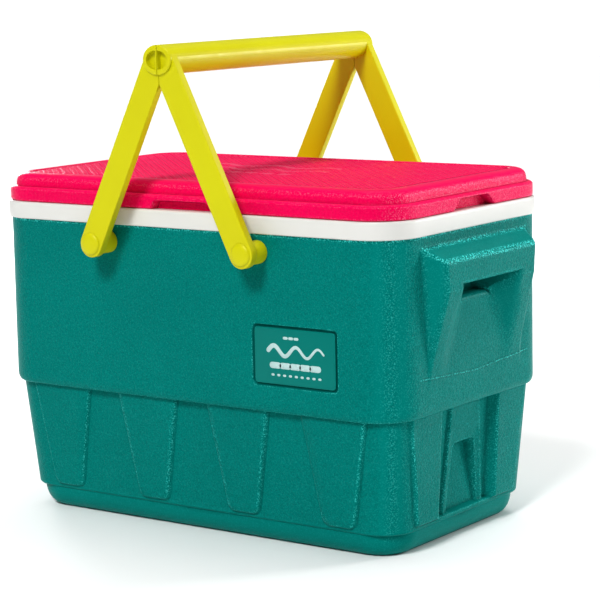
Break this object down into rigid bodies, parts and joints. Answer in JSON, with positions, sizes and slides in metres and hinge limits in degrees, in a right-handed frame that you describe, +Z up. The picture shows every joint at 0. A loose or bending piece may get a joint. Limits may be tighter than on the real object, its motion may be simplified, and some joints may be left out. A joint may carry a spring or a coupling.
{
  "type": "picnic cooler chest",
  "caption": "Hard-sided insulated picnic chest with a lift-off lid, two swing-up bail handles that meet in a round grip, moulded end handles and a stepped lower band.",
  "frame": {"origin": "centre of the footprint, on the ground", "axes": "+X along the long side to the right as seen from the badge side, +Y to the back, +Z up"},
  "size_m": [0.516, 0.3386, 0.4716],
  "materials": {
    "shell": "teal blow-moulded polyethylene with a fine pebbled grain, low sheen",
    "badge": "teal smooth plate with plain pale printed bars",
    "liner": "smooth white moulded plastic, soft gloss",
    "foam": "pale yellow rigid foam, open cut look",
    "lid": "hot pink polyethylene, pebbled sides and a raised brick weave on the top",
    "bail": "acid yellow smooth polyethylene, soft gloss",
    "pin": "acid yellow smooth polyethylene, soft gloss",
    "retainer": "grey nylon, inside the wall"
  },
  "bodies": {
    "chest": {"outer_shell": "shell", "badge_plate": "badge", "inner_liner": "liner", "tub_insulation": "foam", "pivot_pin_front_left": "pin", "spacer_boss_front_left": "pin", "pin_retainer_front_left": "retainer", "pivot_pin_front_right": "pin", "spacer_boss_front_right": "pin", "pin_retainer_front_right": "retainer", "pivot_pin_back_left": "pin", "spacer_boss_back_left": "pin", "pin_retainer_back_left": "retainer", "pivot_pin_back_right": "pin", "spacer_boss_back_right": "pin", "pin_retainer_back_right": "retainer"},
    "lid": {"lid_cover": "lid", "lid_pan": "liner", "lid_insulation": "foam"},
    "bail_left": {"left_bail": "bail"},
    "bail_right": {"right_bail": "bail"}
  },
  "joints": [
    {"name": "lid_lift", "type": "slide", "parent": "chest", "child": "lid", "axis": [0, 0, 1], "range_m": [0, 0.095]},
    {"name": "left_bail_swing", "type": "hinge", "parent": "chest", "child": "bail_left", "pos_m": [-0.0896, 0, 0.281], "axis": [0, -1, 0], "range_deg": [0, 150]},
    {"name": "right_bail_swing", "type": "hinge", "parent": "chest", "child": "bail_right", "pos_m": [0.0896, 0, 0.281], "axis": [0, 1, 0], "range_deg": [0, 150]}
  ]
}
